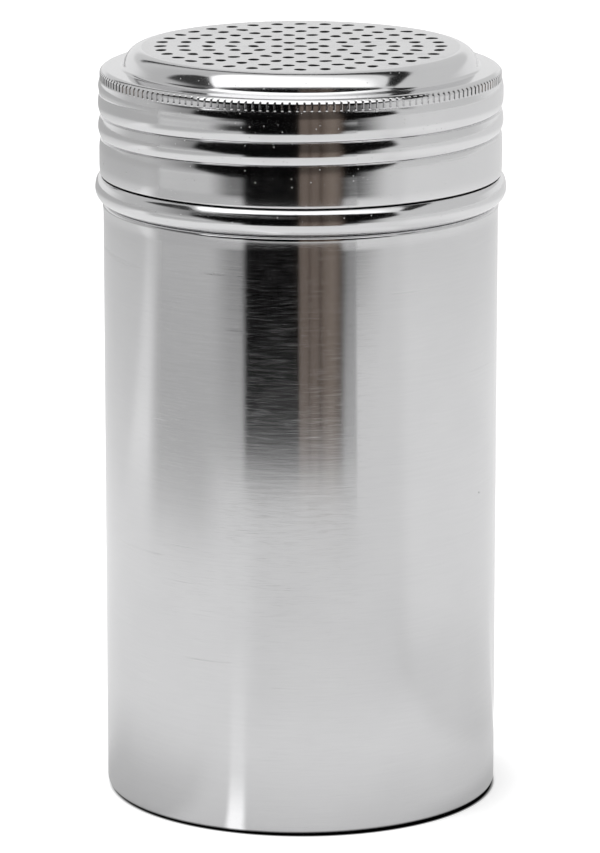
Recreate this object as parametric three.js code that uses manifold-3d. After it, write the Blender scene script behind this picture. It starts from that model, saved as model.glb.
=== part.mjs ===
// Sugar dredger: a straight stainless steel can with a rolled bead and a screw neck, a perforated
// lid that screws down over the neck, and a thin sealing ring between the rim and the lid.
// Millimetres, +Z up, the can stands on z = 0 and its axis is the Z axis.
import * as THREE from 'three'
import Module from 'manifold-3d'

const wasm = await Module()
wasm.setup()

// Can
const wallRadius = 35.0
const sheet = 0.6
const footEdgeRadius = 1.5
const footWidth = 4.0
const baseRecess = 1.0
const beadHeight = 109.7
const beadArcRadius = 2.5
const beadProud = 1.45
const creaseDepth = 0.65
const creaseFlareRadius = 3.1
const neckInset = 1.1
const neckHeight = 20.1

// Screw thread, right-hand, one start: its turns are counted from +X
const threadPitch = 4.0
const threadStartTurn = 0.2
const canRidgeTurns = 2.0
const ridgeHeight = 0.9
const grooveDepth = 0.6
const lobeProud = 0.17
const grooveFootAboveHem = 4.8
const grooveTopBelowKnurl = 2.35
const runOutTurns = 0.3

// Lid
const skirtProud = 0.65
const hemClearance = 0.35
const hemChamfer = 0.15
const shoulderRadius = 1.5
const domeRise = 3.4
const topFlatRadius = 28.1
const topEdgeRadius = 3.0
const domeWallTilt = 25
const domeFootRadius = 0.8
const knurlTeeth = 176
const knurlInset = 0.15
const knurlDepth = 0.4
const knurlWall = 0.4
const knurlBandHeight = 0.45

// Perforation: one hole in the middle and rings of 6, 12, 18, ...
const holeDiameter = 2.0
const holeRings = 6
const holeSpacing = 4.13
const holeSides = 6

// Sealing ring and the clearance on each side of it
const sealThickness = 0.6
const sealWidth = 2.2
const seatGap = 0.1

const facets = 44

// Heights and radii that follow from the sizes above
const neckRadius = wallRadius - neckInset
const skirtRadius = wallRadius + skirtProud
const skirtBore = skirtRadius - sheet
const knurlRadius = skirtRadius - knurlInset
const beadCentreRadius = wallRadius + beadProud - beadArcRadius
const rimZ = beadHeight + neckHeight
const shoulderZ = rimZ + sealThickness + 2 * seatGap + sheet
const topZ = shoulderZ + domeRise
const beadHeightAt = (radius) =>
  Math.sqrt(Math.max(0, beadArcRadius ** 2 - (radius - beadCentreRadius) ** 2))
const hemZ = beadHeight + beadHeightAt(skirtBore) + hemClearance
const knurlZ = shoulderZ - shoulderRadius - knurlBandHeight
const grooveFootZ = hemZ + grooveFootAboveHem
const grooveTurns = (knurlZ - grooveTopBelowKnurl - grooveFootZ) / threadPitch

const degrees = (angle) => (angle * Math.PI) / 180
const inDegrees = (angle) => (angle * 180) / Math.PI
const smooth = (t) => THREE.MathUtils.smoothstep(t, 0, 1)
const around = (radius, angle) => [radius * Math.cos(angle), radius * Math.sin(angle)]

// Points [radius, height] along an arc, angles in degrees from the outward direction
function arc(centreRadius, centreZ, radius, from, to, steps) {
  return Array.from({ length: steps + 1 }, (_, i) => {
    const a = degrees(from + ((to - from) * i) / steps)
    return [centreRadius + radius * Math.cos(a), centreZ + radius * Math.sin(a)]
  })
}

// A plain stretch of a section: points that every column of the surface shares
const plain = (points) => ({ points })

// A threaded stretch: rows that climb with the helix. Each row is [offset in pitches, rise], and
// the rise is added to the radius, full in the middle of the thread and none at its two ends.
function threaded(radius, footZ, turns, rows, goesDown) {
  return { radius, footZ, turns, rows, goesDown }
}

function helixRows(stretch, turn) {
  const { radius, footZ, turns, rows, goesDown } = stretch
  const found = []
  for (let k = -1; k <= Math.ceil(turns) + 1; k++) {
    const along = k + turn - threadStartTurn
    if (along <= 0 || along >= turns) continue
    const run = Math.min(along, turns - along) / runOutTurns
    for (const [offset, rise] of rows) {
      found.push([radius + rise * smooth(run), footZ + threadPitch * (along + offset)])
    }
  }
  return found.sort((a, b) => (goesDown ? b[1] - a[1] : a[1] - b[1]))
}

// One column of the section at a turn from 0 to 1, each point with its order along the section
function column(stretches, turn) {
  const points = []
  stretches.forEach((stretch, part) => {
    const list = stretch.points ?? helixRows(stretch, turn)
    list.forEach(([radius, z], i) => {
      const step = stretch.points ? i / list.length : 0.5 + (stretch.goesDown ? -z : z) / 1000
      points.push({ radius, z, order: part + step })
    })
  })
  return points
}

// Sews two neighbouring columns together, always taking the nearer next point
function sewColumns(left, right, triangles) {
  let a = 0
  let b = 0
  while (a < left.length - 1 || b < right.length - 1) {
    const nextA = a < left.length - 1 ? left[a + 1].order : Infinity
    const nextB = b < right.length - 1 ? right[b + 1].order : Infinity
    const here = [left[a].index, right[b].index]
    const ahead = nextA <= nextB ? left[++a].index : right[++b].index
    triangles.push([here[0], ahead, here[1]])
  }
}

// Sews two closed rings together going round once, always taking the nearer next point
function sewRings(above, below, triangles) {
  const turnOf = (ring, i) => (i > ring.length ? Infinity : i / ring.length)
  let a = 0
  let b = 0
  while (a < above.length || b < below.length) {
    const here = [above[a % above.length], below[b % below.length]]
    const aboveIsNearer = turnOf(above, a + 1) <= turnOf(below, b + 1)
    const ahead = aboveIsNearer ? above[++a % above.length] : below[++b % below.length]
    triangles.push([here[0], here[1], ahead])
  }
}

// A body turned about Z from a section that starts and ends on the axis, or closes on itself.
// The section is a list of runs of stretches, and a band of teeth joins one run to the next.
function turnedBody(runs, { closed = false, teeth } = {}) {
  const positions = []
  const triangles = []
  const seen = new Map()
  const indexOf = (radius, angle, z) => {
    const point = [...around(radius, angle), z]
    const key = point.map((value) => value.toFixed(5)).join()
    if (!seen.has(key)) {
      seen.set(key, positions.length / 3)
      positions.push(...point)
    }
    return seen.get(key)
  }
  const columnsOf = (stretches) =>
    Array.from({ length: facets }, (_, j) => {
      const points = column(stretches, j / facets)
      if (closed) points.push({ ...points[0], order: stretches.length + 1 })
      const angle = (2 * Math.PI * j) / facets
      return points.map(({ radius, z, order }) => ({ order, index: indexOf(radius, angle, z) }))
    })
  const sheets = runs.map(columnsOf)
  for (const columns of sheets) {
    columns.forEach((points, j) => sewColumns(points, columns[(j + 1) % facets], triangles))
  }
  if (teeth) {
    const toothRings = teeth.rings.map(([crest, root, z]) =>
      Array.from({ length: 2 * teeth.count }, (_, i) =>
        indexOf(i % 2 ? root : crest, (Math.PI * i) / teeth.count, z),
      ),
    )
    const upper = sheets[0].map((points) => points.at(-1).index)
    const lower = sheets[1].map((points) => points[0].index)
    const rings = [upper, ...toothRings, lower]
    rings.slice(1).forEach((ring, i) => sewRings(rings[i], ring, triangles))
  }
  const kept = triangles.filter(([a, b, c]) => a !== b && b !== c && c !== a)
  return solid(positions, kept.flat())
}

function solid(positions, indices) {
  return new wasm.Manifold(
    new wasm.Mesh({
      numProp: 3,
      vertProperties: new Float32Array(positions),
      triVerts: new Uint32Array(indices),
    }),
  )
}

// Many upright prisms in one solid: each outline is a list of [x, y], anticlockwise from above
function prisms(outlines, bottomZ, topZ) {
  const positions = []
  const indices = []
  for (const outline of outlines) {
    const first = positions.length / 3
    const n = outline.length
    for (const [x, y] of outline) positions.push(x, y, bottomZ, x, y, topZ)
    const low = (i) => first + 2 * (i % n)
    const high = (i) => low(i) + 1
    for (let i = 0; i < n; i++) {
      indices.push(low(i), low(i + 1), high(i + 1), low(i), high(i + 1), high(i))
      if (i > 1) indices.push(low(0), low(i), low(i - 1), high(0), high(i - 1), high(i))
    }
  }
  return solid(positions, indices)
}

function perforation() {
  const outlines = []
  for (let ring = 0; ring <= holeRings; ring++) {
    const count = Math.max(1, 6 * ring)
    for (let i = 0; i < count; i++) {
      const turn = (2 * Math.PI * i) / count
      const [x, y] = around(ring * holeSpacing, turn)
      outlines.push(
        Array.from({ length: holeSides }, (_, k) => {
          const [dx, dy] = around(holeDiameter / 2, turn + (2 * Math.PI * k) / holeSides)
          return [x + dx, y + dy]
        }),
      )
    }
  }
  return prisms(outlines, topZ - 2 * sheet, topZ + sheet)
}

// Knurl teeth round the foot of the shoulder: the roots are upright and the crests follow the
// shoulder's arc, so the teeth fade out on top of it. Each ring is [crest, root, height].
function knurl() {
  const root = knurlRadius - knurlDepth
  const centre = knurlRadius - shoulderRadius
  const arcHeight = (radius) => Math.sqrt(shoulderRadius ** 2 - (radius - centre) ** 2)
  const arcFootZ = shoulderZ - shoulderRadius
  const middle = 0.6 * arcHeight(root)
  const crest = centre + Math.sqrt(shoulderRadius ** 2 - middle ** 2)
  return {
    count: knurlTeeth,
    bore: root - knurlWall,
    fadeAngle: inDegrees(Math.atan2(arcHeight(root), root - centre)),
    rings: [
      [crest, root, arcFootZ + middle],
      [knurlRadius, root, knurlZ],
    ],
  }
}

// The can's section runs up the inside from the middle of the floor and down the outside
function canBody() {
  const footInner = wallRadius - footEdgeRadius - footWidth
  const footCentre = wallRadius - footEdgeRadius
  const panelRadius = footInner - 2 * baseRecess
  const creaseRadius = wallRadius - creaseDepth
  const creaseZ = beadHeight - beadHeightAt(creaseRadius)
  const creaseAngle = angleOnBead(creaseRadius)
  const flareAngle = inDegrees(Math.acos(1 - creaseDepth / creaseFlareRadius))
  const flareCentre = wallRadius - creaseFlareRadius
  const flareZ = creaseZ - creaseFlareRadius * Math.sin(degrees(flareAngle))
  const bore = neckRadius - sheet
  const innerBead = beadArcRadius - sheet
  const troughRows = [[-0.2, 0], [0, ridgeHeight - 0.1], [0.2, 0]]
  const ridgeRows = [[-0.24, 0], [-0.08, ridgeHeight], [0.08, ridgeHeight], [0.24, 0]]
  const ridgeFoot = grooveFootZ + threadPitch / 2
  return turnedBody([[
    plain([
      [0, baseRecess + sheet],
      [panelRadius, baseRecess + sheet],
      [footInner, sheet],
      ...arc(footCentre, footEdgeRadius, footEdgeRadius - sheet, -90, 0, 2),
      ...arc(flareCentre, flareZ, creaseFlareRadius - sheet, 0, flareAngle, 2).slice(0, -1),
      ...arc(creaseRadius, creaseZ, sheet, 180 + flareAngle, 180 - creaseAngle, 2),
      ...arc(beadCentreRadius, beadHeight, innerBead, -creaseAngle, 90, 4).slice(1),
      [bore, beadHeight + innerBead],
    ]),
    threaded(bore, ridgeFoot, canRidgeTurns, troughRows, false),
    plain([
      [bore, rimZ - 0.2],
      [bore + 0.2, rimZ],
      [neckRadius - 0.2, rimZ],
      [neckRadius, rimZ - 0.2],
    ]),
    threaded(neckRadius, ridgeFoot, canRidgeTurns, ridgeRows, true),
    plain([
      ...arc(
        beadCentreRadius,
        beadHeight,
        beadArcRadius,
        angleOnBead(neckRadius),
        -creaseAngle,
        7,
      ),
      ...arc(flareCentre, flareZ, creaseFlareRadius, flareAngle, 0, 3).slice(1),
      ...arc(footCentre, footEdgeRadius, footEdgeRadius, 0, -90, 3),
      [footInner, 0],
      [panelRadius, baseRecess],
      [0, baseRecess],
    ]),
  ]])
}

// Angle in degrees at which the bead's arc reaches a radius
function angleOnBead(radius) {
  return inDegrees(Math.acos((radius - beadCentreRadius) / beadArcRadius))
}

// The lid's section runs down the outside from the middle of the top and up the inside
function lidBody() {
  const shoulderCentre = knurlRadius - shoulderRadius
  const innerShoulder = shoulderRadius - sheet
  const edgeCentreZ = topZ - topEdgeRadius
  const foot = domeFoot()
  // The groove is a sharp V: gentle from the lobe below it, and a rounder slope up to the next
  const grooveRows = [
    [-0.4, lobeProud],
    [-0.2, 0.25 * lobeProud],
    [-0.05, -0.27 * grooveDepth],
    [0, -grooveDepth],
    [0.05, -0.65 * grooveDepth],
    [0.15, -0.23 * grooveDepth],
    [0.35, 0.7 * lobeProud],
  ]
  const crestRows = [[-0.24, 0], [-0.07, -grooveDepth], [0.07, -grooveDepth], [0.24, 0]]
  const teeth = knurl()
  const above = [
    plain([
      [0, topZ],
      ...arc(topFlatRadius, edgeCentreZ, topEdgeRadius, 90, domeWallTilt, 5),
      ...arc(foot.radius, foot.z, domeFootRadius, 180 + domeWallTilt, 270, 3),
      ...arc(shoulderCentre, shoulderZ - shoulderRadius, shoulderRadius, 90, teeth.fadeAngle, 3),
    ]),
  ]
  const below = [
    plain([
      [knurlRadius, knurlZ - 0.1],
      [skirtRadius + 0.7 * lobeProud, knurlZ - grooveTopBelowKnurl / 4],
    ]),
    threaded(skirtRadius, grooveFootZ, grooveTurns, grooveRows, true),
    plain([
      [skirtRadius, hemZ + hemChamfer],
      [skirtRadius - hemChamfer, hemZ],
      [skirtBore, hemZ],
    ]),
    threaded(skirtBore, grooveFootZ, grooveTurns, crestRows, false),
    plain([
      [teeth.bore, knurlZ - 0.3],
      ...arc(teeth.bore - innerShoulder, shoulderZ - shoulderRadius, innerShoulder, 0, 90, 3),
      ...arc(foot.radius, foot.z, domeFootRadius + sheet, 270, 180 + domeWallTilt, 2),
      ...arc(topFlatRadius, edgeCentreZ, topEdgeRadius - sheet, domeWallTilt, 90, 3),
      [0, topZ - sheet],
    ]),
  ]
  return turnedBody([above, below], { teeth }).subtract(perforation())
}

// Centre of the hollow fillet where the tilted dome wall meets the shoulder
function domeFoot() {
  const tilt = degrees(domeWallTilt)
  const wallTopRadius = topFlatRadius + topEdgeRadius * Math.cos(tilt)
  const wallTopZ = topZ - topEdgeRadius + topEdgeRadius * Math.sin(tilt)
  const z = shoulderZ + domeFootRadius
  const down = (wallTopZ + domeFootRadius * Math.sin(tilt) - z) / Math.cos(tilt)
  const radius = wallTopRadius + down * Math.sin(tilt) + domeFootRadius * Math.cos(tilt)
  return { radius, z }
}

function sealBody() {
  const outer = neckRadius
  const inner = outer - sealWidth
  const bottom = rimZ + seatGap
  const top = bottom + sealThickness
  const section = plain([[inner, top], [outer, top], [outer, bottom], [inner, bottom]])
  return turnedBody([[section]], { closed: true })
}

function mesh(name, body, material) {
  const { vertProperties, triVerts } = body.getMesh()
  const geometry = new THREE.BufferGeometry()
  geometry.setAttribute('position', new THREE.BufferAttribute(vertProperties, 3))
  geometry.setIndex(new THREE.BufferAttribute(triVerts, 1))
  const part = new THREE.Mesh(geometry, material)
  part.name = name
  return part
}

const brushedSteel = new THREE.MeshStandardMaterial({ color: 0xc9cacb, roughness: 0.3, metalness: 1 })
const polishedSteel = new THREE.MeshStandardMaterial({ color: 0xd2d3d4, roughness: 0.12, metalness: 1 })
const paleSilicone = new THREE.MeshStandardMaterial({ color: 0xdcdcd8, roughness: 0.6, metalness: 0 })

const dredger = new THREE.Group()
dredger.name = 'sugar_dredger'
dredger.add(mesh('can', canBody(), brushedSteel))
dredger.add(mesh('seal', sealBody(), paleSilicone))
dredger.add(mesh('lid', lidBody(), polishedSteel))

export default dredger
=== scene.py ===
import math
import random

import bmesh
import bpy
from mathutils.geometry import delaunay_2d_cdt
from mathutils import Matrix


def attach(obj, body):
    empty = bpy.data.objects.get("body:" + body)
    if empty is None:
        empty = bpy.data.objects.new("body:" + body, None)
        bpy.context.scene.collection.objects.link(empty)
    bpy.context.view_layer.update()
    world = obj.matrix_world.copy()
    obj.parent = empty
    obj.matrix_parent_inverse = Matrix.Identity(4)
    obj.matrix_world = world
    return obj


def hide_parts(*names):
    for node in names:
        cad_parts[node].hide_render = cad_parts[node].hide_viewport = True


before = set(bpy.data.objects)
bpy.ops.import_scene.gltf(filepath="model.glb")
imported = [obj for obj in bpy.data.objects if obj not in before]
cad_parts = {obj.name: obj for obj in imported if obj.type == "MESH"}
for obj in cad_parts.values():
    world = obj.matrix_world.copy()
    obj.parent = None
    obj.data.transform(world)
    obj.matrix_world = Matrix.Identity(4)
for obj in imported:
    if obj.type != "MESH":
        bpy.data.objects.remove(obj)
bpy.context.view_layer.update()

mm = 0.001
fullTurn = 2 * math.pi
perRadian = 180 / math.pi  # degrees

# Sizes in millimetres and angles in degrees, as in the part's source
thread = {
    "pitch": 4.0,
    "footZ": 117.095,
    "startTurn": 0.2,
    "grooveTurns": 2.45,
    "ridgeTurns": 2.0,
    "runOutTurns": 0.3,
    "leanX": -0.33,  # the rolled grooves run slightly askew: their rise at +X and at +Y
    "leanY": -0.30,
}


def smoothStep(t):
    t = min(1.0, max(0.0, t))
    return t * t * (3 - 2 * t)


def arc(centre, centreZ, radius, start, end, steps):
    angles = [math.radians(start + (end - start) * i / steps) for i in range(steps + 1)]
    return [(centre + radius * math.cos(angle), centreZ + radius * math.sin(angle)) for angle in angles]


def plain(points, slot=0):  # the same points at every turn
    return {"at": lambda turn: points, "rows": len(points), "slot": slot, "shift": 0}


def lean(turn):
    return thread["leanX"] * math.cos(fullTurn * turn) + thread["leanY"] * math.sin(fullTurn * turn)


def wound(low, high, offsets, radiusAt, slot=0, goesDown=False):
    # rows that climb with the thread and are held between two level rings
    pitch, footZ, startTurn = thread["pitch"], thread["footZ"], thread["startTurn"]
    first = math.floor((low - footZ) / pitch + startTurn) - 2
    last = math.ceil((high - footZ) / pitch + startTurn) + 1
    rows = [k + offset for k in range(first, last + 1) for offset in offsets]

    def at(turn):
        heights = [footZ + pitch * (row + turn - startTurn) + lean(turn) for row in rows]
        heights = [min(high, max(low, z)) for z in heights]
        points = [(radiusAt(turn, z), z) for z in heights]
        return points[::-1] if goesDown else points

    shift = -len(offsets) if goesDown else len(offsets)
    return {"at": at, "rows": len(rows), "slot": slot, "shift": shift}


def ringAt(radiusAt, z, count):
    ring = []
    for i in range(count):
        r, angle = radiusAt(i / count), fullTurn * i / count
        ring.append((r * math.cos(angle), r * math.sin(angle), z))
    return ring


def threadPlace(turn, z, footZ):
    # the number of the thread's line below a point, and how many pitches the point is above it
    along = (z - footZ) / thread["pitch"] - (turn - thread["startTurn"])
    number = math.floor(along)
    return number, along - number


def threadFade(number, turn, turns):  # 1 on the thread, running out to 0 at its two ends
    along = number + turn - thread["startTurn"]
    return smoothStep(min(along, turns - along) / thread["runOutTurns"])


class Surface:
    def __init__(self):
        self.verts, self.faces, self.slots = [], [], []

    def add(self, verts, faces, slots):
        first = len(self.verts)
        self.verts += verts
        self.faces += [tuple(first + i for i in face) for face in faces]
        self.slots += slots

    def turned(self, runs, columns, closed=False, wave=None):
        # wave takes turn, radius and height and gives the radius of a toothed point
        verts, faces, slots = [], [], []
        for j in range(columns):
            turn = j / columns
            toX, toY = math.cos(fullTurn * turn), math.sin(fullTurn * turn)
            for run in runs:
                for radius, z in run["at"](turn):
                    r = wave(turn, radius, z) if wave else radius
                    verts.append((r * toX, r * toY, z))
        acrossSeam, slotOf, start = [], [], 0
        for run in runs:
            end = start + run["rows"] - 1
            rows = range(start, end + 1)
            acrossSeam += [min(end, max(start, i + run["shift"])) for i in rows]
            slotOf += [run["slot"]] * run["rows"]
            start = end + 1
        pairs = [(i, i + 1) for i in range(start - 1)] + ([(start - 1, 0)] if closed else [])
        for j in range(columns):
            here, there = j * start, (j + 1) % columns * start
            for low, high in pairs:
                lowNext, highNext = (acrossSeam[low], acrossSeam[high]) if j == columns - 1 else (low, high)
                faces.append((here + low, here + high, there + highNext, there + lowNext))
                slots.append(slotOf[high])
        self.add(verts, faces, slots)

    def bridge(self, coarseRing, fineRing, slot):
        # joins a ring of few points to a ring of a whole multiple of them
        coarse, fine = len(coarseRing), len(fineRing)
        step = fine // coarse
        faces = []
        for j in range(coarse):
            along = [coarse + (j * step + i) % fine for i in range(step + 1)]
            faces.append((j, *along, (j + 1) % coarse))
        self.add(coarseRing + fineRing, faces, [slot] * coarse)

    def make(self, name, materials, sharpAngle=32, flatSlot=None):
        mesh = bpy.data.meshes.new(name)
        mesh.from_pydata([tuple(v * mm for v in vert) for vert in self.verts], [], self.faces)
        mesh.polygons.foreach_set("material_index", self.slots)
        for material in materials:
            mesh.materials.append(material)
        work = bmesh.new()
        work.from_mesh(mesh)
        bmesh.ops.remove_doubles(work, verts=work.verts, dist=0.002 * mm)
        bmesh.ops.dissolve_degenerate(work, edges=work.edges, dist=0.001 * mm)
        bmesh.ops.recalc_face_normals(work, faces=work.faces)
        openEdges = sum(1 for edge in work.edges if not edge.is_manifold)
        work.to_mesh(mesh)
        work.free()
        mesh.polygons.foreach_set("use_smooth", [face.material_index != flatSlot for face in mesh.polygons])
        mesh.set_sharp_from_angle(angle=math.radians(sharpAngle))
        piece = bpy.data.objects.new(name, mesh)
        bpy.context.collection.objects.link(piece)
        print(name, "faces", len(mesh.polygons), "open edges", openEdges)
        return piece


# Shader maths: a wire is an output socket that adds its own Math nodes
class Wire:
    def __init__(self, graph, socket):
        self.graph, self.socket = graph, socket

    def other(self, output):  # another output of the same node
        return Wire(self.graph, self.socket.node.outputs[output])

    def maths(self, operation, *values):
        return self.graph.node("ShaderNodeMath", {"operation": operation}, list(values))

    def __add__(self, other):
        return self.maths("ADD", self, other)

    def __sub__(self, other):
        return self.maths("SUBTRACT", self, other)

    def __rsub__(self, other):
        return self.maths("SUBTRACT", other, self)

    def __mul__(self, other):
        return self.maths("MULTIPLY", self, other)

    def __truediv__(self, other):
        return self.maths("DIVIDE", self, other)

    __radd__, __rmul__ = __add__, __mul__

    def above(self, low, high):  # 0 below low, 1 over high and smooth between them
        inputs = {"Value": self, "From Min": low, "From Max": high}
        return self.graph.node("ShaderNodeMapRange", {"interpolation_type": "SMOOTHSTEP"}, inputs)

    def below(self, low, high):
        return 1 - self.above(low, high)


class Graph:
    def __init__(self, owner):
        owner.use_nodes = True
        self.tree = owner.node_tree
        self.tree.nodes.clear()

    def node(self, kind, settings=None, inputs=None, output=0):
        made = self.tree.nodes.new(kind)
        for name, value in (settings or {}).items():
            if name == "stops":
                ramp = made.color_ramp
                while len(ramp.elements) < len(value):
                    ramp.elements.new(0.5)
                for element, (place, colour) in zip(ramp.elements, value):
                    element.position, element.color = place, (*colour, 1)
            else:
                setattr(made, name, value)
        pairs = inputs.items() if isinstance(inputs, dict) else enumerate(inputs or [])
        for key, value in pairs:
            socket = made.inputs[key]
            if isinstance(value, Wire):
                self.tree.links.new(value.socket, socket)
            else:
                socket.default_value = value
        return Wire(self, made.outputs[output] if made.outputs else None)

    def blend(self, factor, low, high):  # colours
        settings = {"data_type": "RGBA"}
        return self.node("ShaderNodeMix", settings, {0: factor, 6: low, 7: high}, output=2)

    def place(self, scale=(1, 1, 1)):  # the object's own coordinates in metres, stretched
        here = self.node("ShaderNodeTexCoord", {}, {}, output=3)
        return self.node("ShaderNodeVectorMath", {"operation": "MULTIPLY"}, [here, scale])

    def noise(self, vector, scale, detail=2.0, roughness=0.5):
        inputs = {"Vector": vector, "Scale": scale, "Detail": detail, "Roughness": roughness}
        return self.node("ShaderNodeTexNoise", {}, inputs)

    def specks(self, scale, size, share):
        # small round marks, one in some of the cells of a Voronoi pattern: 1 on a mark
        inputs = {"Vector": self.place(), "Scale": scale}
        near = self.node("ShaderNodeTexVoronoi", {}, inputs)
        chance = self.node("ShaderNodeTexVoronoi", {}, inputs, output=1)
        picked = self.node("ShaderNodeSeparateColor", {}, [chance]).below(share, share + 0.01)
        return near.below(0.5 * size * scale, size * scale) * picked


def steel(name, finish):
    material = bpy.data.materials.new(name)
    graph = Graph(material)
    across, along = finish["lineWidth"], finish["lineLength"]
    lines = graph.noise(graph.place((1 / along, 1 / along, 1 / across)), 1.0, 3.0, 0.65)
    wideLines = graph.noise(graph.place((0.6 / along, 0.6 / along, 0.22 / across)), 1.0, 2.0)
    hairs = graph.noise(graph.place((2.5 / along, 2.5 / along, 2.2 / across)), 1.0, 2.0, 0.7)
    cloud = graph.noise(graph.place(), 55.0, 3.0)
    smears = graph.noise(graph.place((1, 1, 0.45)), 130.0, 4.0, 0.6)
    pits = graph.specks(finish["pitScale"], finish["pitSize"], finish["pitShare"])
    dust = graph.specks(finish["dustScale"], finish["dustSize"], 0.32)
    askew = {"Vector": graph.place(), "Rotation": (0.5, 0.9, 0.3), "Scale": (30, 30, 900)}
    scratchNoise = graph.noise(graph.node("ShaderNodeMapping", {}, askew), 1.0, 1.0)
    scratches = scratchNoise.above(0.70, 0.72) * cloud.above(0.48, 0.56)

    dark, light = finish["darkColour"], finish["lightColour"]
    mix = (lines - 0.5) * finish["lineTint"] + (cloud - 0.5) * 0.5 + 0.6
    colour = graph.blend(mix, (*dark, 1), (*light, 1))
    colour = graph.blend(pits * 0.85, colour, (0.06, 0.055, 0.05, 1))
    roughness = (
        finish["roughness"]
        + (lines - 0.5) * finish["lineRoughness"]
        + hairs.above(0.53, 0.72) * finish["hairlines"]
        + (smears - 0.5) * finish["smearRoughness"]
        + pits * 0.25
        + dust * 0.2
        + scratches * 0.12
    )
    height = (
        (lines - 0.5) * finish["lineHeight"]
        + (wideLines - 0.5) * finish["wideHeight"]
        + (cloud - 0.5) * finish["waviness"]
        - pits * finish["pitDepth"]
        + dust * finish["dustHeight"]
        - scratches * finish["scratchDepth"]
    )
    bump = graph.node("ShaderNodeBump", {}, {"Height": height, "Distance": mm, "Strength": 1.0})
    shader = graph.node(
        "ShaderNodeBsdfPrincipled",
        {},
        {
            "Base Color": colour,
            "Metallic": 1.0,
            "Roughness": roughness,
            "Normal": bump,
            "Anisotropic": finish["anisotropic"],
            "Anisotropic Rotation": 0.25,
        },
    )
    graph.node("ShaderNodeOutputMaterial", {}, [shader])
    return material


wallFinish = {
    "darkColour": (0.60, 0.60, 0.61),
    "lightColour": (0.76, 0.76, 0.765),
    "roughness": 0.10,
    "anisotropic": 0.6,
    "hairlines": 0.11,
    "lineWidth": 0.16 * mm,
    "lineLength": 9 * mm,
    "lineTint": 0.45,
    "lineRoughness": 0.07,
    "lineHeight": 0.0011,
    "wideHeight": 0.002,
    "waviness": 0.005,
    "smearRoughness": 0.04,
    "pitScale": 130.0,
    "pitSize": 0.2 * mm,
    "pitShare": 0.3,
    "pitDepth": 0.03,
    "dustScale": 500.0,
    "dustSize": 0.08 * mm,
    "dustHeight": 0.004,
    "scratchDepth": 0.004,
}
polishFinish = {
    **wallFinish,
    "darkColour": (0.68, 0.68, 0.69),
    "lightColour": (0.82, 0.82, 0.825),
    "roughness": 0.11,
    "hairlines": 0.05,
    "lineWidth": 0.1 * mm,
    "lineTint": 0.3,
    "lineRoughness": 0.08,
    "lineHeight": 0.0008,
    "wideHeight": 0.0012,
    "smearRoughness": 0.05,
    "pitScale": 260.0,
    "pitSize": 0.17 * mm,
    "pitShare": 0.14,
    "pitDepth": 0.02,
    "dustScale": 1250.0,
    "dustSize": 0.105 * mm,
    "dustHeight": 0.03,
    "scratchDepth": 0.003,
}
discFinish = {
    **polishFinish,
    "darkColour": (0.66, 0.66, 0.67),
    "lightColour": (0.80, 0.80, 0.805),
    "roughness": 0.20,
    "anisotropic": 0.0,
    "lineHeight": 0.0,
    "wideHeight": 0.0,
    "waviness": 0.02,
    "smearRoughness": 0.1,
}
insideFinish = {
    **wallFinish,
    "darkColour": (0.36, 0.36, 0.37),
    "lightColour": (0.52, 0.52, 0.52),
    "roughness": 0.38,
    "anisotropic": 0.4,
}
# painted shade: the holes' edges and walls are near-black steel, standing in for the dark seen through them
holeShadeFinish = {
    **insideFinish,
    "darkColour": (0.03, 0.03, 0.03),
    "lightColour": (0.07, 0.07, 0.07),
    "roughness": 0.5,
    "hairlines": 0,
}


def silicone(name, finish):
    material = bpy.data.materials.new(name)
    graph = Graph(material)
    cloud = graph.noise(graph.place(), 240.0, 4.0)
    grain = graph.noise(graph.place(), 4200.0, 2.0)
    colour = graph.blend(cloud, (*finish["darkColour"], 1), (*finish["lightColour"], 1))
    bump = graph.node("ShaderNodeBump", {}, {"Height": grain * 0.02 + cloud * 0.02, "Distance": mm})
    inputs = {"Base Color": colour, "Roughness": 0.5 + cloud * 0.18, "Normal": bump, "IOR": 1.41}
    graph.node("ShaderNodeOutputMaterial", {}, [graph.node("ShaderNodeBsdfPrincipled", {}, inputs)])
    return material


sealFinish = {"darkColour": (0.70, 0.70, 0.67), "lightColour": (0.82, 0.82, 0.79)}

wallSteel = steel("wallSteel", wallFinish)
beadSteel = steel("beadSteel", polishFinish)
lidSteel = steel("lidSteel", polishFinish)
discSteel = steel("discSteel", discFinish)
insideSteel = steel("insideSteel", insideFinish)
holeShadeSteel = steel("holeShadeSteel", holeShadeFinish)
sealSilicone = silicone("sealSilicone", sealFinish)
print("materials made")

can = {
    "columns": 256,
    "wallRadius": 35.0,
    "sheet": 0.6,
    "footEdgeRadius": 1.5,
    "footWidth": 4.0,
    "baseRecess": 1.0,
    "beadHeight": 109.7,
    "beadArcRadius": 2.5,
    "beadProud": 1.43,
    "beadTopWidth": 1.1,  # above its middle the bead is squarer than an arc
    "beadTopHeight": 2.33,
    "creaseDepth": 0.65,
    "creaseFlareRadius": 0.62,
    "lipProud": 0.11,  # below the crease the wall starts a little proud
    "lipHeight": 2.1,
    "neckRadius": 33.9,
    "rimZ": 129.8,
    "ridgeHeight": 0.9,
}


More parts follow.
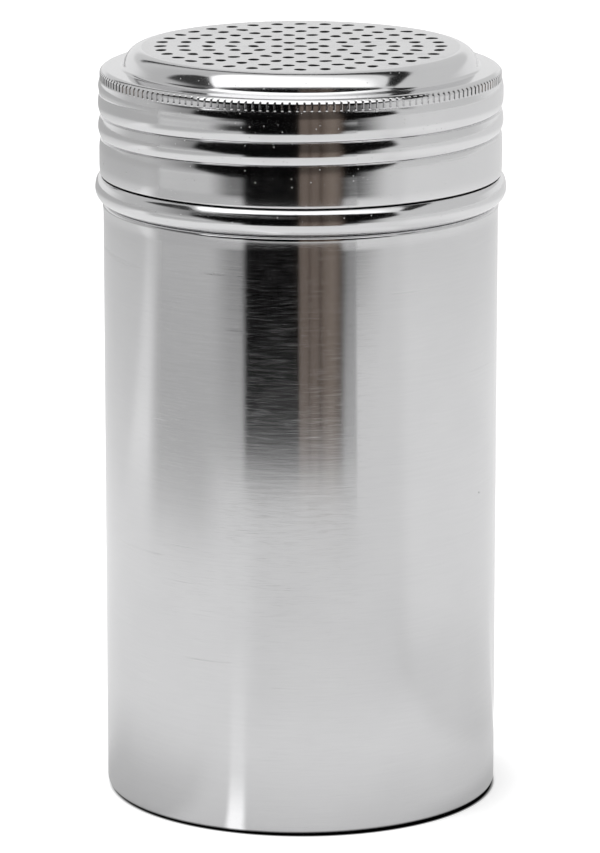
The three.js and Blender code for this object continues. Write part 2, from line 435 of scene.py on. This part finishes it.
def makeCan():
    wall, sheet, footEdge = can["wallRadius"], can["sheet"], can["footEdgeRadius"]
    footInner = wall - footEdge - can["footWidth"]
    footCentre = wall - footEdge
    recess = can["baseRecess"]
    panel = footInner - 2 * recess
    beadZ, beadArc = can["beadHeight"], can["beadArcRadius"]
    beadCentre = wall + can["beadProud"] - beadArc
    crease = wall - can["creaseDepth"]
    creaseZ = beadZ - math.sqrt(beadArc ** 2 - (crease - beadCentre) ** 2)
    creaseAngle = math.degrees(math.acos((crease - beadCentre) / beadArc))
    neck, rimZ = can["neckRadius"], can["rimZ"]
    bore = neck - sheet
    ridgeFoot = thread["footZ"] + thread["pitch"] / 2

    def ridge(turn, z, rise):
        number, above = threadPlace(turn, z, ridgeFoot)
        found = 0.0
        for k, away in ((number, above), (number + 1, 1 - above)):
            shape = smoothStep((0.25 - away) / 0.19)
            found = max(found, shape * threadFade(k, turn, thread["ridgeTurns"]))
        return rise * found

    def insideRidges(turn, z):
        return bore + ridge(turn, z, can["ridgeHeight"] - 0.1)

    def outsideRidges(turn, z):
        return neck + ridge(turn, z, can["ridgeHeight"])

    # the crease under the bead: the wall flares in to it, and the bead bulges out above it
    flare = can["creaseFlareRadius"]
    flareAngle = math.degrees(math.acos(1 - (can["creaseDepth"] + can["lipProud"]) / flare))
    flareZ = creaseZ - flare * math.sin(math.radians(flareAngle))
    lip = []
    for i in range(13):
        lip.append((wall + can["lipProud"] * (1 - i / 12) ** 2, flareZ - can["lipHeight"] * i / 12))
    lipAt = wall + can["lipProud"] - flare
    even = [i / 14 for i in range(14)]
    topWidth, topHeight = can["beadTopWidth"], can["beadTopHeight"]
    topStart = wall + can["beadProud"] - topWidth
    squareTop = [(topStart + x * topWidth, beadZ + z * topHeight) for x, z in arc(0, 0, 1, 90, 0, 22)]
    flatStart, deepStart = footInner + 0.6, panel - 3
    neckZ, underRim = beadZ + beadArc, rimZ - sheet / 2 - 0.02
    surface = Surface()
    outer, polished, inner = 0, 1, 2
    surface.turned(
        [
            plain([(radius, recess + sheet) for radius in (0, deepStart, panel)], inner),
            plain([(footInner, sheet), (flatStart, sheet)], inner),
            plain(arc(footCentre, footEdge, footEdge - sheet, -90, 0, 6), inner),
            plain([(wall - sheet, 4), (wall - sheet, flareZ - 3)], inner),
            plain(arc(lipAt, flareZ, flare - sheet, 0, flareAngle, 6)[:-1], inner),
            plain(arc(crease, creaseZ, sheet, 180 + flareAngle, 180 - creaseAngle, 6), inner),
            plain(arc(beadCentre, beadZ, beadArc - sheet, -creaseAngle, 90, 16)[1:], inner),
            plain([(bore, neckZ - sheet)], inner),
            wound(neckZ - sheet + 0.05, rimZ - 0.35, even, insideRidges, inner),
            plain(arc(bore + sheet / 2, rimZ - sheet / 2, sheet / 2, 180, 0, 8), polished),
            wound(neckZ + 0.05, underRim, even, outsideRidges, polished, goesDown=True),
            plain([(neck, neckZ)] + squareTop, polished),
            plain(arc(beadCentre, beadZ, beadArc, 0, -creaseAngle, 20)[1:], polished),
            plain(arc(lipAt, flareZ, flare, flareAngle, 0, 10)[1:-1], outer),
            plain(lip, outer),
            plain([(wall, flareZ - 8), (wall, 50), (wall, footEdge + 3)], outer),
            plain(arc(footCentre, footEdge, footEdge, 0, -90, 10), outer),
            plain([(flatStart, 0), (footInner, 0)], outer),
            plain([(radius, recess) for radius in (panel, deepStart, 0)], outer),
        ],
        can["columns"],
    )
    piece = surface.make("canSkin", [wallSteel, beadSteel, insideSteel])
    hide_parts("can")
    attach(piece, "can")


lid = {
    "columns": 264,
    "knurlColumns": 1056,
    "knurlTeeth": 176,
    "knurlRadius": 35.5,
    "knurlDepth": 0.4,
    "knurlGrooveWidth": 0.335,  # as a share of a tooth
    "shoulderProud": 0.2,
    "shoulderFall": 0.1,
    "knurlWall": 0.4,
    "knurlZ": 129.25,
    "skirtRadius": 35.65,
    "sheet": 0.6,
    "hemZ": 112.295,
    "hemEdge": 0.15,
    "hemTuck": 0.1,
    "shoulderZ": 131.2,
    "shoulderRadius": 1.5,
    "topZ": 134.6,
    "topFlatRadius": 28.1,
    "topEdgeRadius": 3.0,
    "edgeEnd": 33,  # the dome's tight edge turns into a slightly rounded wall here
    "wallEnd": 18,
    "domeFootRadius": 0.8,
    "lobeProud": 0.18,
    "dropBelow": 0.40,  # how deep a groove is from the lobe below it
    "dropAbove": 0.63,  # how deep it is from the lobe above it
    "notchDepth": 0.26,
    "notchHalfWidth": 0.035,
    "crestDepth": 0.6,
    "holeRadius": 1.0,
    "holeSpacing": 4.13,
    "holeRings": 6,
    "holeSides": 16,
    "holeEdge": 0.06,
    "holeSpread": 0.13,
    "holeOval": 0.15,  # as a share of the radius
}


def lidRadius(turn, z):
    # lobes between sharp grooves, and a last lobe that tucks in under the knurl
    number, above = threadPlace(turn, z, thread["footZ"] + lean(turn))
    fade = {k: threadFade(k, turn, thread["grooveTurns"]) for k in range(number - 1, number + 3)}
    last = smoothStep((z - lid["knurlZ"] + 3.5) / 1.5)
    crest = {k: lid["lobeProud"] * max(fade[k], last) for k in fade}
    isAbove = above < 0.5
    near, away = (number, above) if isAbove else (number + 1, 1 - above)
    drop = lid["dropAbove" if isAbove else "dropBelow"]
    between = (crest[near - 1] + crest[near]) / 2
    cusp = (lid["lobeProud"] - drop) * fade[near] + between * (1 - fade[near])
    offset = crest[number] + (cusp - crest[number]) * (1 - 2 * away) ** 2
    depth = lid["notchDepth"] - (drop - lid["dropBelow"])
    notch = max(0.0, 1 - away / lid["notchHalfWidth"]) * depth * fade[near]
    tuck = lid["skirtRadius"] + lid["lobeProud"] - lid["knurlRadius"]
    top = tuck * min(1.0, max(0.0, (z - lid["knurlZ"] + 1.7) / 1.5) ** 2)
    hem = lid["hemTuck"] * max(0.0, (lid["hemZ"] + 2 - z) / 2) ** 2
    return lid["skirtRadius"] + offset - notch - top - hem


def lidInnerRadius(turn, z):
    number, above = threadPlace(turn, z, thread["footZ"])
    found = 0.0
    for k, away in ((number, above), (number + 1, 1 - above)):
        shape = smoothStep((0.24 - away) / 0.18)
        found = max(found, shape * threadFade(k, turn, thread["grooveTurns"]))
    return lid["skirtRadius"] - lid["sheet"] - lid["crestDepth"] * found


def toothed(turn, radius, z):
    # the roller leaves an upright band round the shoulder's corner, with a narrow V pressed in
    # between every two lands
    away = abs(2 * (turn * lid["knurlTeeth"] % 1) - 1)
    groove = max(0.0, 1 - away / lid["knurlGrooveWidth"])
    foot = smoothStep((z - lid["knurlZ"] + 0.14) / 0.14)
    return min(radius, lid["knurlRadius"] - lid["knurlDepth"] * groove * foot)


def perforatedDisc(surface, discSlot, insideSlot, holeShadeSlot):
    topZ, sheet, columns = lid["topZ"], lid["sheet"], lid["columns"]
    radius, sides, edge = lid["holeRadius"], lid["holeSides"], lid["holeEdge"]

    def circle(r, count):
        return [(x, y) for x, y, _ in ringAt(lambda turn: r, 0, count)]

    centres = [(0.0, 0.0)]
    for ring in range(1, lid["holeRings"] + 1):
        centres += circle(ring * lid["holeSpacing"], 6 * ring)

    # the punched holes are each a little out of round and out of place
    draw = random.Random(11)
    spread, oval = lid["holeSpread"], lid["holeOval"]
    shapes = []
    for i, (x, y) in enumerate(centres):
        centres[i] = (x + draw.uniform(-spread, spread), y + draw.uniform(-spread, spread))
        bulges = ((2, oval), (3, oval / 2))
        shapes.append([(count, draw.uniform(0, most), draw.uniform(0, fullTurn)) for count, most in bulges])

    def holeRadius(shape, r, angle):
        swell = 1
        for count, height, start in shape:
            swell += height * math.cos(count * (angle - start))
        return r * swell

    def hole(number, r):
        (x, y), shape = centres[number], shapes[number]
        ring = []
        for i in range(sides):
            angle = fullTurn * i / sides
            away = holeRadius(shape, r, angle)
            ring.append((x + away * math.cos(angle), y + away * math.sin(angle)))
        return ring

    points = circle(lid["topFlatRadius"], columns)
    edges = [(i, (i + 1) % columns) for i in range(columns)]
    around = [(i, (i + 1) % sides) for i in range(sides)]
    mouth = radius + edge
    for number in range(len(centres)):
        first = len(points)
        points += hole(number, mouth)
        edges += [(first + i, first + j) for i, j in around]
    flat, _, triangles, *_ = delaunay_2d_cdt(points, edges, [], 1, 1e-6)

    def inHole(triangle):
        x = sum(flat[i][0] for i in triangle) / 3
        y = sum(flat[i][1] for i in triangle) / 3
        for shape, (holeX, holeY) in zip(shapes, centres):
            reach = 0.97 * holeRadius(shape, mouth, math.atan2(y - holeY, x - holeX))
            if math.hypot(x - holeX, y - holeY) < reach:
                return True
        return False

    kept = [tuple(triangle) for triangle in triangles if not inHole(triangle)]
    underZ = topZ - sheet
    for height, slot in ((topZ, discSlot), (underZ, insideSlot)):
        surface.add([(x, y, height) for x, y in flat], kept, [slot] * len(kept))
    levels = [  # down a hole's rounded edge and wall to its opening below
        (mouth, topZ),
        (radius + 0.4 * edge, topZ - 0.04),
        (radius, topZ - 0.13),
        (radius, underZ + 0.1),
        (mouth, underZ),
    ]
    # every hole's edge and wall takes the near-black steel of painted shade
    for number in range(len(centres)):
        verts, faces = [], []
        for level, (r, z) in enumerate(levels):
            verts += [(x, y, z) for x, y in hole(number, r)]
            if level:
                low, high = (level - 1) * sides, level * sides
                faces += [(low + i, low + j, high + j, high + i) for i, j in around]
        surface.add(verts, faces, [holeShadeSlot] * len(faces))


def makeLid():
    skirt, sheet, hemZ = lid["skirtRadius"], lid["sheet"], lid["hemZ"]
    bore = skirt - sheet
    topZ, shoulderZ, edgeEnd, wallEnd = lid["topZ"], lid["shoulderZ"], lid["edgeEnd"], lid["wallEnd"]
    edgeZ, edgeRadius = topZ - lid["topEdgeRadius"], lid["topEdgeRadius"]
    topFlat, footRadius = lid["topFlatRadius"], lid["domeFootRadius"]
    knurl, shoulder = lid["knurlRadius"], lid["shoulderRadius"]
    corner = knurl + lid["shoulderProud"] - shoulder
    cornerZ = shoulderZ - lid["shoulderFall"] - shoulder
    # the dome's rounded wall, and the fillet where it meets the shoulder
    edgeAngle, wallAngle = math.radians(edgeEnd), math.radians(wallEnd)
    footZ = shoulderZ + footRadius
    drop = edgeZ + edgeRadius * math.sin(edgeAngle) + footRadius * math.sin(wallAngle) - footZ
    wallArc = drop / (math.sin(edgeAngle) - math.sin(wallAngle))
    wall = topFlat + (edgeRadius - wallArc) * math.cos(edgeAngle)
    wallZ = edgeZ + (edgeRadius - wallArc) * math.sin(edgeAngle)
    foot = wall + (wallArc + footRadius) * math.cos(wallAngle)
    root = knurl - lid["knurlDepth"]
    knurlBore, innerCorner = root - lid["knurlWall"], shoulder - sheet
    fadeAngle = math.degrees(math.acos((root - corner) / shoulder))
    # slot 3 is the near-black steel that paints the shade in the holes
    outside, disc, inside, holeShade = 0, 1, 2, 3
    columns, fine, knurlZ = lid["columns"], lid["knurlColumns"], lid["knurlZ"]

    def shoulderArc(start, end, steps):
        return arc(corner, cornerZ, shoulder, start, end, steps)

    surface = Surface()
    surface.turned(
        [
            plain(arc(topFlat, edgeZ, edgeRadius, 90, edgeEnd, 14), outside),
            plain(arc(wall, wallZ, wallArc, edgeEnd, wallEnd, 8)[1:], outside),
            plain(arc(foot, footZ, footRadius, 180 + wallEnd, 270, 10)[1:], outside),
            plain(shoulderArc(90, fadeAngle + 5, 8), outside),
        ],
        columns,
    )
    band = shoulderArc(fadeAngle + 2, 29, 7) + shoulderArc(14, 0, 1)
    band += [(knurl, knurlZ + down) for down in (0, -0.035, -0.07, -0.105, -0.14)]
    surface.turned([plain(band, outside)], fine, wave=toothed)

    threadTop, collarZ = knurlZ - 0.75, knurlZ - 0.2
    (aboveBand, aboveBandZ), (bandTop, bandTopZ) = shoulderArc(fadeAngle + 5, 0, 1)[0], band[0]
    bandFoot, bandFootZ = band[-1]
    shoulderRing = ringAt(lambda turn: aboveBand, aboveBandZ, columns)
    surface.bridge(shoulderRing, ringAt(lambda turn: bandTop, bandTopZ, fine), outside)
    collarRing = ringAt(lambda turn: lidRadius(turn, collarZ), collarZ, columns)
    surface.bridge(collarRing, ringAt(lambda turn: bandFoot, bandFootZ, fine), outside)

    # parts of a pitch, closest together at the bottom of a groove
    near = [0.0, 0.009, 0.018, 0.027, 0.035, 0.05, 0.08, 0.12, 0.17, 0.23, 0.30, 0.37, 0.44]
    offsets = near + [0.5] + [1 - offset for offset in reversed(near[1:])]
    edge = lid["hemEdge"]

    def collar(turn):  # level rings from the knurl's foot down to the rows that climb
        heights = [collarZ + (threadTop - collarZ) * i / 8 for i in range(9)]
        return [(lidRadius(turn, z), z) for z in heights]

    surface.turned(
        [
            {"at": collar, "rows": 9, "slot": outside, "shift": 0},
            wound(hemZ + 0.3, threadTop, offsets, lidRadius, outside, goesDown=True),
            plain(arc(skirt - lid["hemTuck"] - edge, hemZ + edge, edge, 0, -90, 6), outside),
            plain([(bore, hemZ)], inside),
            wound(hemZ + 0.3, knurlZ - 0.3, [i / 12 for i in range(12)], lidInnerRadius, inside),
            plain(arc(knurlBore - innerCorner, cornerZ, innerCorner, 0, 90, 8), inside),
            plain(arc(foot, footZ, footRadius + sheet, 270, 180 + wallEnd, 6), inside),
            plain(arc(wall, wallZ, wallArc - sheet, wallEnd, edgeEnd, 4)[1:], inside),
            plain(arc(topFlat, edgeZ, edgeRadius - sheet, edgeEnd, 90, 8)[1:], inside),
        ],
        columns,
    )
    perforatedDisc(surface, disc, inside, holeShade)
    materials = [lidSteel, discSteel, insideSteel, holeShadeSteel]
    piece = surface.make("lidSkin", materials, sharpAngle=26, flatSlot=disc)
    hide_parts("lid")
    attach(piece, "lid")


seal = {"columns": 192, "outer": 33.9, "width": 2.2, "bottom": 129.9, "thickness": 0.6, "edge": 0.12}


def makeSeal():
    outer, inner = seal["outer"], seal["outer"] - seal["width"]
    low, high, edge = seal["bottom"], seal["bottom"] + seal["thickness"], seal["edge"]
    corners = [
        (outer - edge, high - edge, 90, 0),
        (outer - edge, low + edge, 0, -90),
        (inner + edge, low + edge, -90, -180),
        (inner + edge, high - edge, 180, 90),
    ]
    section = [point for r, z, start, end in corners for point in arc(r, z, edge, start, end, 4)]
    surface = Surface()
    surface.turned([plain(section)], seal["columns"], closed=True)
    piece = surface.make("sealRing", [sealSilicone])
    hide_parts("seal")
    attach(piece, "seal")


makeCan()
makeSeal()
makeLid()
print("pieces made")

# Metres, degrees and levels of light
studio = {
    "paperRadius": 0.303,  # the paper's front edge, an arc round the can between two angles
    "paperLeft": -86,
    "paperRight": 31,
    "floorReach": 4.0,
    "floorColour": (0.84, 0.84, 0.84),
    "cameraLift": 0.62,  # light added to the paper where it is seen directly, which makes it white
    "mirrorLift": 0.24,  # and where it is seen in the steel
    "leftRoom": 0.54,
    "leftRoomTop": 0.42,
    "leftRoomHigh": 0.73,
    "leftSide": 0.55,
    "rightSide": 0.66,
    "rightLow": 1.05,
    "backdrop": 0.86,
    "backdropHigh": 0.66,
    "panelLight": 1.5,
    "panelRight": 0.85,
    "margin": 0.045,
    "strip": 0.02,
    "dark": 0.0015,
    "brown": (0.170, 0.136, 0.115),
    "brownLight": (0.225, 0.185, 0.155),
    "brownDark": (0.085, 0.064, 0.052),
}


def makeFloor():
    reach, radius = studio["floorReach"], studio["paperRadius"]
    left, right = math.radians(studio["paperLeft"]), math.radians(studio["paperRight"])
    front = [left + (right - left) * i / 48 for i in range(49)]
    outline = [(radius * math.sin(angle), -radius * math.cos(angle), 0) for angle in front]
    outline += [(reach * math.tan(right), -reach, 0), (reach, -reach, 0), (reach, reach, 0)]
    outline += [(-reach, reach, 0), (-reach, -reach / math.tan(-left), 0)]
    mesh = bpy.data.meshes.new("studioFloor")
    mesh.from_pydata(outline, [], [tuple(range(len(outline)))])
    floor = bpy.data.objects.new("studioFloor", mesh)
    bpy.context.collection.objects.link(floor)
    material = bpy.data.materials.new("floorPaper")
    graph = Graph(material)

    def glow(colour, strength=1.0):
        return graph.node("ShaderNodeEmission", {}, {"Color": colour, "Strength": strength})

    def mix(share, without, full):
        return graph.node("ShaderNodeMixShader", {}, [share, without, full])

    white = (1, 1, 1, 1)
    paper = graph.node("ShaderNodeBsdfDiffuse", {}, {"Color": (*studio["floorColour"], 1)})
    unlit = graph.node("ShaderNodeBsdfDiffuse", {}, {"Color": (0.004, 0.004, 0.004, 1)})
    isSeen = graph.node("ShaderNodeLightPath")
    isMirrored = isSeen.other("Is Glossy Ray")
    leftEdge, rightEdge = paperEdges(graph)
    seen = graph.node("ShaderNodeAddShader", {}, [paper, glow(white, studio["cameraLift"])])
    # the steel sees the paper with a glow of painted light and shade added
    mirrored = graph.node("ShaderNodeAddShader", {}, [paper, glow(paintedPaperLight(graph))])
    # painted reflection: near its cut edges the paper glows like the room beyond it
    mirrored = mix(leftEdge, mirrored, glow(white, studio["leftRoom"]))
    mirrored = mix(rightEdge, mirrored, glow(white, studio["strip"]))
    shader = mix(isMirrored, mix(isSeen, paper, seen), mirrored)
    # painted shade: the paper turns to unlit black at the can's foot and darker on its right
    shader = mix(paperShade(graph), shader, unlit)
    graph.node("ShaderNodeOutputMaterial", {}, [shader])
    mesh.materials.append(material)


def paperPlace(graph):
    # a point on the paper in metres, its angle in degrees, 0 towards -Y and rising to +X, and how
    # far it is from the can's axis
    x = graph.node("ShaderNodeSeparateXYZ", {}, [graph.node("ShaderNodeTexCoord", {}, {}, output=3)])
    y = x.other(1)
    azimuth = x.maths("ARCTAN2", x, 0 - y) * perRadian
    return x, y, azimuth, x.maths("SQRT", x * x + y * y)


# painted shade on the paper: a near-black line where the can stands, and a faint painted shadow on its
# right
def paperShade(graph):  # the dark line where the can stands, and a faint shadow on its right
    x, y, azimuth, away = paperPlace(graph)
    right, back = x - 0.0003, y + 0.0002
    contact = x.maths("SQRT", right * right + back * back).below(0.0342, 0.0353)
    beside = azimuth.above(25, 60) * azimuth.below(110, 150) * away.below(0.034, 0.046) * 0.2
    return x.maths("MAXIMUM", contact, beside)


# painted reflection: beside its two cut edges the paper, as the steel sees it, glows with the room's light
# and dark instead of its own
def paperEdges(graph):  # how far the paper fades into the room beside its two cut edges
    azimuth, away = paperPlace(graph)[2:]
    left = azimuth.above(-98, -84) * azimuth.below(-60, -40)
    right = azimuth.above(-20, 0) * azimuth.below(28, 52)
    return left * away.above(0.2, 0.32) * away.below(0.46, 0.62), right * away.above(0.44, 0.66)


def paintedPaperLight(graph):
    # Painted light and shade that only the steel sees on the paper, as a glow on top of its own light: a
    # slanting strip and a wedge of painted light on the left and a soft painted shadow on the right. The
    # glow is painted dimmer farther away, close to the can, and in front.
    x, y, azimuth, away = paperPlace(graph)
    fromStrip = x * -0.161 + y * 0.987 - 0.116  # to its middle line
    strip = fromStrip.above(-0.07, -0.02) * fromStrip.below(0.02, 0.07) * azimuth.below(-80, -60) * 0.16
    strip = strip * away.above(0.2, 0.34) * away.below(0.5, 0.6)
    fromWedge = (x * 0.8 - y * 0.6 - 0.0103) / (away * 0.08 - 0.001)  # in half widths, which grow
    wedge = fromWedge.above(-1.3, -0.5) * fromWedge.below(0.5, 1.3) * azimuth.above(-60, -40)
    wedge = wedge * (away.below(0.04, 0.075) * 0.5 + away.below(0.05, 0.17) * 0.14)
    corner = azimuth.above(-125, -95) * azimuth.below(-50, -36) * away.below(0.035, 0.11) * 0.14
    shadow = (x * 0.89 + y * 0.45).above(0.052, 0.07) * away.below(0.11, 0.19)
    shadow = shadow * azimuth.below(100, 150) * 0.1
    far = away.above(0.3, 0.62) * 0.14 + away.above(0.5, 0.7) * azimuth.below(-60, 10) * 0.14
    leftDim = azimuth.below(-60, -20) * away.above(0.16, 0.36) * 0.13
    near = away.below(0.04, 0.09) * 0.08
    front = azimuth.above(-32, -20) * azimuth.below(54, 64) * away.above(0.09, 0.135) * 0.07
    return studio["mirrorLift"] + strip + wedge - corner - shadow - far - leftDim - near - front


def makeWorld():
    # A light tent in a dark room: pale sides and backdrop, a bright panel overhead with dark gaps
    # round it, and an opening towards -Y. Angles are in degrees, 0 towards -Y and rising to +X.
    world = bpy.data.worlds.new("studio")
    bpy.context.scene.world = world
    graph = Graph(world)
    x = graph.node("ShaderNodeSeparateXYZ", {}, [graph.node("ShaderNodeTexCoord", {}, {}, output=0)])
    y, z = x.other(1), x.other(2)
    around = x.maths("ARCTAN2", x, 0 - y) * perRadian
    rise = z.maths("ARCSINE", z) * perRadian

    def grey(level):
        return (level, level, level, 1)

    # the pale tent, dimmer on the left, darkest beside the opening and brightest behind
    beside = around.above(-98, -58) * around.below(0, 20)
    right = graph.blend(rise.above(-13, -11), grey(studio["rightLow"]), grey(studio["rightSide"]))
    sides = graph.blend(around.above(-20, 60), grey(studio["leftSide"]), right)
    sides = graph.blend(beside * rise.above(-9, 4) * 0.62, sides, grey(0.06))
    behind = graph.blend(rise.above(11, 17), grey(studio["backdrop"]), grey(studio["backdropHigh"]))
    light = graph.blend(y.above(0.35, 0.8), sides, behind)
    leftRoom = graph.blend(rise.above(-12.5, -11.5), grey(studio["leftRoom"]), grey(studio["leftRoomTop"]))
    leftRoom = graph.blend(rise.above(-11.4, -10.9), leftRoom, grey(studio["leftRoomHigh"]))
    light = graph.blend(around.above(-90, -84) * rise.below(-9.5, -7) * y.below(0.0, 0.1), light, leftRoom)

    # the opening, with a warm post standing in it
    leftEdge = -33 - rise.above(-11.4, -10.9) * 14 - rise.above(-9, 2) * 16
    rightEdge = 24 + rise.above(-13, -11.5) * 3 + rise.above(-11.4, -10.9) * 10 + rise.above(-6, 10) * 19
    soft = 2.5 + rise.above(-11.4, -10.9) * 6 - rise.above(-9, -4) * 6
    inLeft, inRight = (around - leftEdge) / soft, (rightEdge - around) / soft
    opening = inLeft.above(-1, 1) * inRight.above(-1, 1) * rise.below(60, 70)
    brown, brownLight, brownDark = studio["brown"], studio["brownLight"], studio["brownDark"]
    stops = [(0.02, brown), (0.19, brown), (0.23, brownDark), (0.28, brown), (0.41, brown)]
    stops += [(0.46, brownDark), (0.55, brown), (0.72, brownLight), (0.85, brown), (0.92, brownDark)]
    post = graph.node("ShaderNodeValToRGB", {"stops": stops}, [(around + 1) / 26])
    postShare = around.above(-1.8, 0.2) * around.below(22.5, 25.5) * rise.below(36, 42)
    postShare = postShare * (1.25 - rise.above(-14, -9) * 0.3 - rise.above(-8, 6) * 0.5)
    room = graph.blend(postShare, grey(studio["dark"]), post)
    light = graph.blend(opening, light, room)

    # the panel: its sides draw together towards the back, and a dark margin goes round it
    upwards = z.maths("MAXIMUM", z, 0.02)
    panelX, panelY = x / upwards, y / upwards
    fromLeft = panelX - panelY * 1.05 + 0.73
    fromRight = 0.68 - panelY - panelX
    overhead = z.above(0.3, 0.36) * panelY.above(-1.14, -1.06)
    atLeft = around.above(-105, -100) * rise.below(48, 54)
    leftToRight = fromRight.above(-0.2, 0.2)  # 1 on the left
    margin = graph.blend(leftToRight, fromRight.above(-0.5, -0.42), atLeft)
    margin = graph.node("ShaderNodeSeparateColor", {}, [margin])
    margin = margin * rise.above(19, 25) * panelY.above(-1.0, -0.8)
    marginColour = graph.blend(leftToRight, grey(studio["strip"]), grey(studio["margin"]))
    light = graph.blend(margin, light, marginColour)
    panelLeft, panelRight = grey(studio["panelLight"]), grey(studio["panelRight"])
    panelColour = graph.blend(fromRight.above(0.1, 0.7), panelRight, panelLeft)
    panel = x.maths("MINIMUM", fromLeft, fromRight).above(-0.05, 0.04) * overhead
    light = graph.blend(panel, light, panelColour)
    light = graph.blend(graph.node("ShaderNodeLightPath"), light, grey(1))  # seen directly it is white
    graph.node("ShaderNodeOutputWorld", {}, [graph.node("ShaderNodeBackground", {}, [light, 1.0])])


def makeCamera():
    data = bpy.data.cameras.new("camera")
    camera = bpy.data.objects.new("camera", data)
    bpy.context.collection.objects.link(camera)
    camera.location = (-0.00014, -0.9333, 0.2876)
    tilt = 0.23341  # radians down from level
    camera.rotation_euler = (math.pi / 2 - tilt, 0, 0)
    data.lens = 226.0
    data.sensor_width = 36
    bpy.context.scene.camera = camera


makeFloor()
makeWorld()
makeCamera()
bpy.context.scene.view_settings.view_transform = "Standard"
print("studio made")
